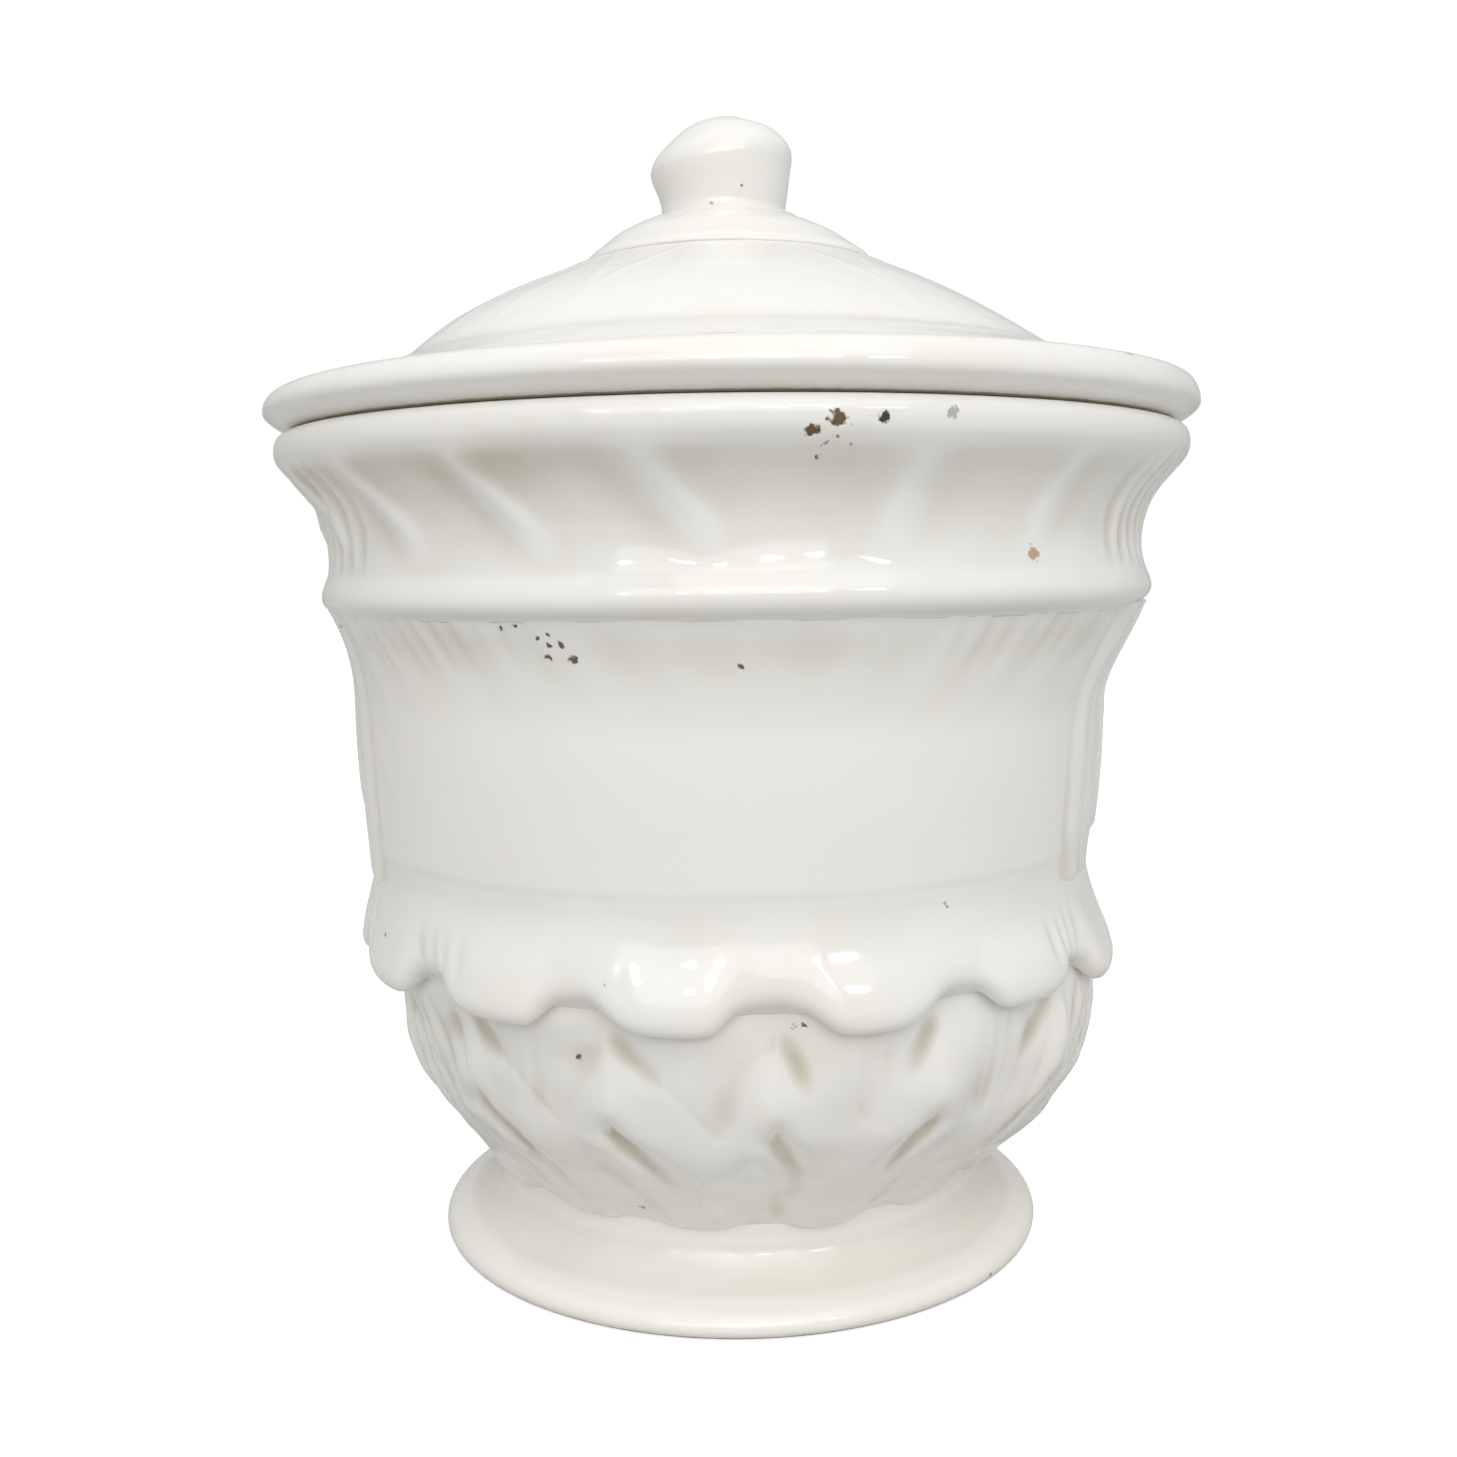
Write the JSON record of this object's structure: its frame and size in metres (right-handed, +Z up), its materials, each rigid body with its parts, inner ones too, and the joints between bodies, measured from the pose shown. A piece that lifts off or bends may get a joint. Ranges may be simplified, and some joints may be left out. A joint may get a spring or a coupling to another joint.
{
  "type": "apothecary jar",
  "caption": "Footed, waisted apothecary jar in white glazed faience with moulded leaf relief and a loose domed lid with a grip knob.",
  "frame": {"origin": "centre of the foot's underside, on the jar's axis", "axes": "+Z up along the jar's axis, -Y towards the front, +X to the right seen from the front"},
  "size_m": [0.206, 0.206, 0.2524],
  "materials": {
    "white_glaze": "glossy off-white tin glaze with pinholes and small chips",
    "ivory_glaze": "thinner, warmer tin glaze on the foot, worn to the buff body at its lower edge"
  },
  "bodies": {
    "jar": {"neck_moulding": "white_glaze", "drum_wall": "white_glaze", "leaf_bowl": "white_glaze", "pedestal_foot": "ivory_glaze", "side_relief_left": "white_glaze", "side_relief_right": "white_glaze"},
    "lid": {"lid_dome": "white_glaze", "lid_flange": "white_glaze", "knob_collar": "white_glaze", "lid_knob": "white_glaze"}
  },
  "joints": [
    {"name": "lid_lift", "type": "slide", "parent": "jar", "child": "lid", "axis": [0, 0, 1], "range_m": [0, 0.12]}
  ]
}
